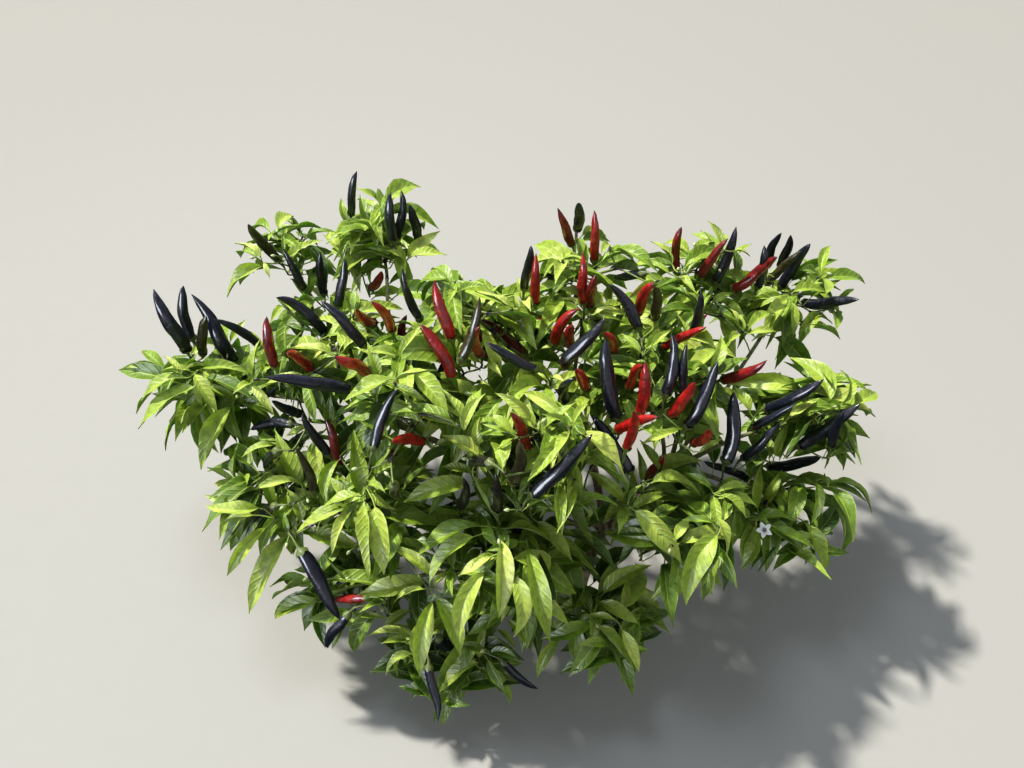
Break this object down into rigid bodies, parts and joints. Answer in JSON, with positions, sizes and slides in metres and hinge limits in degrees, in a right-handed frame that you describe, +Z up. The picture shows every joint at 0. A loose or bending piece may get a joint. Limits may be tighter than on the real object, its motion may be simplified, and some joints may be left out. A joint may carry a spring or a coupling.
{
  "type": "chilli pepper plant",
  "caption": "Wide, low chilli pepper bush rooted in the ground: a short woody stem with a root flare, forking boughs, and a leafy crown that bears many slim upright pods.",
  "frame": {"origin": "middle of the flat cut under the main stem, at ground level", "axes": "+Z up; the front of the plant, as pictured, faces -Y; the crown is widest along X and reaches further towards -X"},
  "size_m": [0.9255, 0.5845, 0.5311],
  "materials": {
    "bark": "matte, finely ridged",
    "green_bark": "satin, smooth",
    "foliage": "satin",
    "pods": "glossy"
  },
  "bodies": {
    "root": {"main_stem": "bark", "bough_left": "bark", "bough_right": "bark", "bough_back": "bark", "bough_front": "bark", "bough_low_front": "bark", "bough_far_left": "bark", "limb_far_left": "green_bark", "limb_left_back": "green_bark", "limb_back_left": "green_bark", "limb_upper_left": "green_bark", "limb_left_front": "green_bark", "limb_front_left": "green_bark", "limb_low_left": "green_bark", "limb_front_low": "green_bark", "limb_centre_left": "green_bark", "limb_crown_top": "green_bark", "limb_back_centre": "green_bark", "limb_centre": "green_bark", "limb_front_centre": "green_bark", "limb_centre_right": "green_bark", "limb_back_right": "green_bark", "limb_far_back_right": "green_bark", "limb_right": "green_bark", "limb_front_right": "green_bark", "limb_right_low": "green_bark", "limb_low_right": "green_bark", "limb_back_low_left": "green_bark", "limb_back_low": "green_bark", "limb_back_low_right": "green_bark", "foliage_far_left": "foliage", "foliage_left_back": "foliage", "foliage_back_left": "foliage", "foliage_upper_left": "foliage", "foliage_left_front": "foliage", "foliage_front_left": "foliage", "foliage_low_left": "foliage", "foliage_front_low": "foliage", "foliage_centre_left": "foliage", "foliage_crown_top": "foliage", "foliage_back_centre": "foliage", "foliage_centre": "foliage", "foliage_front_centre": "foliage", "foliage_centre_right": "foliage", "foliage_back_right": "foliage", "foliage_far_back_right": "foliage", "foliage_right": "foliage", "foliage_front_right": "foliage", "foliage_right_low": "foliage", "foliage_low_right": "foliage", "foliage_back_low_left": "foliage", "foliage_back_low": "foliage", "foliage_back_low_right": "foliage"}
  },
  "joints": []
}
